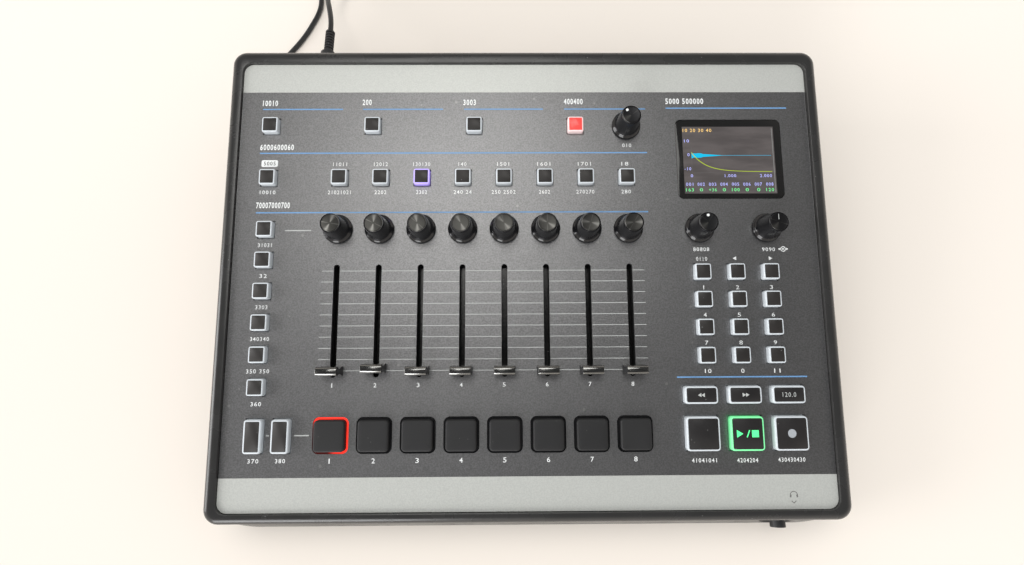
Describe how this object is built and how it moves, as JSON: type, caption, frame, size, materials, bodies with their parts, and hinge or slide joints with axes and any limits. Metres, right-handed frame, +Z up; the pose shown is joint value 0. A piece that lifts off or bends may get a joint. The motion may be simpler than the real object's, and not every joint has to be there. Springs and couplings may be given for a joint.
{
  "type": "drum machine",
  "caption": "Desktop sampling drum machine: sloping case, grey face panel with pads, faders, knobs, lit buttons and a colour display, rear sockets, power lead with wall adapter.",
  "frame": {"origin": "on the table under the middle of the machine, without the lead", "axes": "+X to the right, +Y to the back, +Z up; the face panel slopes up to the back by 8 degrees"},
  "size_m": [0.3899, 0.4578, 0.0924],
  "materials": {
    "case_black": "smooth, nearly black, lightly polished",
    "panel_grey": "dark bluish grey satin paint with silver bands",
    "window_black": "clear polished acrylic over a lit display",
    "part_black": "matt black",
    "board_green": "green solder mask",
    "socket_black": "matt black",
    "nut_black": "blackened metal",
    "bare_metal": "plated steel",
    "milky": "milky translucent plastic",
    "rubber": "matt rubber",
    "cord_black": "soft black jacket",
    "knob_black": "glossy black",
    "fader_black": "smooth dark grey"
  },
  "bodies": {
    "case": {"case_top": "case_black", "case_bottom": "case_black", "face_panel": "panel_grey", "screen_window": "window_black", "display_module": "part_black", "control_board": "board_green", "main_board": "board_green", "rear_jacks": "socket_black", "jack_nuts": "nut_black", "rear_sockets": "socket_black", "headphone_jack": "socket_black", "fader_bodies": "bare_metal", "pot_bodies": "bare_metal", "pad_light_frames": "milky", "rubber_feet": "rubber", "case_screws": "bare_metal", "dc_plug": "cord_black", "dc_lead": "cord_black", "dc_lead_coil": "cord_black", "wall_adapter": "part_black"},
    "channel_knob_1": {"channel_knob_1": "knob_black"},
    "channel_knob_2": {"channel_knob_2": "knob_black"},
    "channel_knob_3": {"channel_knob_3": "knob_black"},
    "channel_knob_4": {"channel_knob_4": "knob_black"},
    "channel_knob_5": {"channel_knob_5": "knob_black"},
    "channel_knob_6": {"channel_knob_6": "knob_black"},
    "channel_knob_7": {"channel_knob_7": "knob_black"},
    "channel_knob_8": {"channel_knob_8": "knob_black"},
    "gain_knob": {"gain_knob": "knob_black"},
    "volume_knob": {"volume_knob": "knob_black"},
    "select_knob": {"select_knob": "knob_black"},
    "fader_1": {"fader_1": "fader_black"},
    "fader_2": {"fader_2": "fader_black"},
    "fader_3": {"fader_3": "fader_black"},
    "fader_4": {"fader_4": "fader_black"},
    "fader_5": {"fader_5": "fader_black"},
    "fader_6": {"fader_6": "fader_black"},
    "fader_7": {"fader_7": "fader_black"},
    "fader_8": {"fader_8": "fader_black"},
    "pad_1": {"pad_1": "rubber"},
    "pad_2": {"pad_2": "rubber"},
    "pad_3": {"pad_3": "rubber"},
    "pad_4": {"pad_4": "rubber"},
    "pad_5": {"pad_5": "rubber"},
    "pad_6": {"pad_6": "rubber"},
    "pad_7": {"pad_7": "rubber"},
    "pad_8": {"pad_8": "rubber"},
    "mute_button": {"mute_button": "milky"},
    "solo_button": {"solo_button": "milky"},
    "rewind_button": {"rewind_button": "milky"},
    "forward_button": {"forward_button": "milky"},
    "tempo_button": {"tempo_button": "milky"},
    "tap_button": {"tap_button": "milky"},
    "run_button": {"run_button": "milky"},
    "record_button": {"record_button": "milky"},
    "top_buttons": {"top_buttons": "milky"},
    "programming_buttons": {"programming_buttons": "milky"},
    "performance_buttons": {"performance_buttons": "milky"},
    "keypad_buttons": {"keypad_buttons": "milky"},
    "power_button": {"power_button": "part_black"}
  },
  "joints": [
    {"name": "channel_knob_1_turn", "type": "hinge", "parent": "case", "child": "channel_knob_1", "pos_m": [-0.11585, 0.02883, 0.06605], "axis": [0, -0.1392, 0.9903], "range_deg": [-150, 150]},
    {"name": "channel_knob_2_turn", "type": "hinge", "parent": "case", "child": "channel_knob_2", "pos_m": [-0.09035, 0.02883, 0.06605], "axis": [0, -0.1392, 0.9903], "range_deg": [-150, 150]},
    {"name": "channel_knob_3_turn", "type": "hinge", "parent": "case", "child": "channel_knob_3", "pos_m": [-0.06485, 0.02883, 0.06605], "axis": [0, -0.1392, 0.9903], "range_deg": [-150, 150]},
    {"name": "channel_knob_4_turn", "type": "hinge", "parent": "case", "child": "channel_knob_4", "pos_m": [-0.03935, 0.02883, 0.06605], "axis": [0, -0.1392, 0.9903], "range_deg": [-150, 150]},
    {"name": "channel_knob_5_turn", "type": "hinge", "parent": "case", "child": "channel_knob_5", "pos_m": [-0.01385, 0.02883, 0.06605], "axis": [0, -0.1392, 0.9903], "range_deg": [-150, 150]},
    {"name": "channel_knob_6_turn", "type": "hinge", "parent": "case", "child": "channel_knob_6", "pos_m": [0.01165, 0.02883, 0.06605], "axis": [0, -0.1392, 0.9903], "range_deg": [-150, 150]},
    {"name": "channel_knob_7_turn", "type": "hinge", "parent": "case", "child": "channel_knob_7", "pos_m": [0.03715, 0.02883, 0.06605], "axis": [0, -0.1392, 0.9903], "range_deg": [-150, 150]},
    {"name": "channel_knob_8_turn", "type": "hinge", "parent": "case", "child": "channel_knob_8", "pos_m": [0.06265, 0.02883, 0.06605], "axis": [0, -0.1392, 0.9903], "range_deg": [-150, 150]},
    {"name": "gain_knob_turn", "type": "hinge", "parent": "case", "child": "gain_knob", "pos_m": [0.0635, 0.09468, 0.0753], "axis": [0, -0.1392, 0.9903], "range_deg": [-150, 150]},
    {"name": "volume_knob_turn", "type": "hinge", "parent": "case", "child": "volume_knob", "pos_m": [0.10675, 0.02883, 0.06605], "axis": [0, -0.1392, 0.9903], "range_deg": [-150, 150]},
    {"name": "select_knob_turn", "type": "hinge", "parent": "case", "child": "select_knob", "pos_m": [0.14825, 0.02883, 0.06605], "axis": [0, -0.1392, 0.9903], "continuous": true},
    {"name": "fader_1_slide", "type": "slide", "parent": "case", "child": "fader_1", "axis": [0, 0.9903, 0.1392], "range_m": [0, 0.06]},
    {"name": "fader_2_slide", "type": "slide", "parent": "case", "child": "fader_2", "axis": [0, 0.9903, 0.1392], "range_m": [-0.0015, 0.0585]},
    {"name": "fader_3_slide", "type": "slide", "parent": "case", "child": "fader_3", "axis": [0, 0.9903, 0.1392], "range_m": [0, 0.06]},
    {"name": "fader_4_slide", "type": "slide", "parent": "case", "child": "fader_4", "axis": [0, 0.9903, 0.1392], "range_m": [0, 0.06]},
    {"name": "fader_5_slide", "type": "slide", "parent": "case", "child": "fader_5", "axis": [0, 0.9903, 0.1392], "range_m": [0, 0.06]},
    {"name": "fader_6_slide", "type": "slide", "parent": "case", "child": "fader_6", "axis": [0, 0.9903, 0.1392], "range_m": [0, 0.06]},
    {"name": "fader_7_slide", "type": "slide", "parent": "case", "child": "fader_7", "axis": [0, 0.9903, 0.1392], "range_m": [0, 0.06]},
    {"name": "fader_8_slide", "type": "slide", "parent": "case", "child": "fader_8", "axis": [0, 0.9903, 0.1392], "range_m": [0, 0.06]},
    {"name": "pad_1_press", "type": "slide", "parent": "case", "child": "pad_1", "axis": [0, 0.1392, -0.9903], "range_m": [0, 0.001], "stiffness_N_per_m": 2000, "springref_m": -0.0003},
    {"name": "pad_2_press", "type": "slide", "parent": "case", "child": "pad_2", "axis": [0, 0.1392, -0.9903], "range_m": [0, 0.001], "stiffness_N_per_m": 2000, "springref_m": -0.0003},
    {"name": "pad_3_press", "type": "slide", "parent": "case", "child": "pad_3", "axis": [0, 0.1392, -0.9903], "range_m": [0, 0.001], "stiffness_N_per_m": 2000, "springref_m": -0.0003},
    {"name": "pad_4_press", "type": "slide", "parent": "case", "child": "pad_4", "axis": [0, 0.1392, -0.9903], "range_m": [0, 0.001], "stiffness_N_per_m": 2000, "springref_m": -0.0003},
    {"name": "pad_5_press", "type": "slide", "parent": "case", "child": "pad_5", "axis": [0, 0.1392, -0.9903], "range_m": [0, 0.001], "stiffness_N_per_m": 2000, "springref_m": -0.0003},
    {"name": "pad_6_press", "type": "slide", "parent": "case", "child": "pad_6", "axis": [0, 0.1392, -0.9903], "range_m": [0, 0.001], "stiffness_N_per_m": 2000, "springref_m": -0.0003},
    {"name": "pad_7_press", "type": "slide", "parent": "case", "child": "pad_7", "axis": [0, 0.1392, -0.9903], "range_m": [0, 0.001], "stiffness_N_per_m": 2000, "springref_m": -0.0003},
    {"name": "pad_8_press", "type": "slide", "parent": "case", "child": "pad_8", "axis": [0, 0.1392, -0.9903], "range_m": [0, 0.001], "stiffness_N_per_m": 2000, "springref_m": -0.0003},
    {"name": "mute_button_press", "type": "slide", "parent": "case", "child": "mute_button", "axis": [0, 0.1392, -0.9903], "range_m": [0, 0.0008], "stiffness_N_per_m": 600, "springref_m": -0.00083},
    {"name": "solo_button_press", "type": "slide", "parent": "case", "child": "solo_button", "axis": [0, 0.1392, -0.9903], "range_m": [0, 0.0008], "stiffness_N_per_m": 600, "springref_m": -0.00083},
    {"name": "rewind_button_press", "type": "slide", "parent": "case", "child": "rewind_button", "axis": [0, 0.1392, -0.9903], "range_m": [0, 0.0008], "stiffness_N_per_m": 600, "springref_m": -0.00083},
    {"name": "forward_button_press", "type": "slide", "parent": "case", "child": "forward_button", "axis": [0, 0.1392, -0.9903], "range_m": [0, 0.0008], "stiffness_N_per_m": 600, "springref_m": -0.00083},
    {"name": "tempo_button_press", "type": "slide", "parent": "case", "child": "tempo_button", "axis": [0, 0.1392, -0.9903], "range_m": [0, 0.0008], "stiffness_N_per_m": 600, "springref_m": -0.00083},
    {"name": "tap_button_press", "type": "slide", "parent": "case", "child": "tap_button", "axis": [0, 0.1392, -0.9903], "range_m": [0, 0.0008], "stiffness_N_per_m": 600, "springref_m": -0.00083},
    {"name": "run_button_press", "type": "slide", "parent": "case", "child": "run_button", "axis": [0, 0.1392, -0.9903], "range_m": [0, 0.0008], "stiffness_N_per_m": 600, "springref_m": -0.00083},
    {"name": "record_button_press", "type": "slide", "parent": "case", "child": "record_button", "axis": [0, 0.1392, -0.9903], "range_m": [0, 0.0008], "stiffness_N_per_m": 600, "springref_m": -0.00083},
    {"name": "top_buttons_press", "type": "slide", "parent": "case", "child": "top_buttons", "axis": [0, 0.1392, -0.9903], "range_m": [0, 0.0008], "stiffness_N_per_m": 600, "springref_m": -0.001},
    {"name": "programming_buttons_press", "type": "slide", "parent": "case", "child": "programming_buttons", "axis": [0, 0.1392, -0.9903], "range_m": [0, 0.0008], "stiffness_N_per_m": 600, "springref_m": -0.001},
    {"name": "performance_buttons_press", "type": "slide", "parent": "case", "child": "performance_buttons", "axis": [0, 0.1392, -0.9903], "range_m": [0, 0.0008], "stiffness_N_per_m": 600, "springref_m": -0.001},
    {"name": "keypad_buttons_press", "type": "slide", "parent": "case", "child": "keypad_buttons", "axis": [0, 0.1392, -0.9903], "range_m": [0, 0.0008], "stiffness_N_per_m": 600, "springref_m": -0.001},
    {"name": "power_button_slide", "type": "slide", "parent": "case", "child": "power_button", "axis": [0, 1, 0], "range_m": [0, 0.0025]}
  ]
}
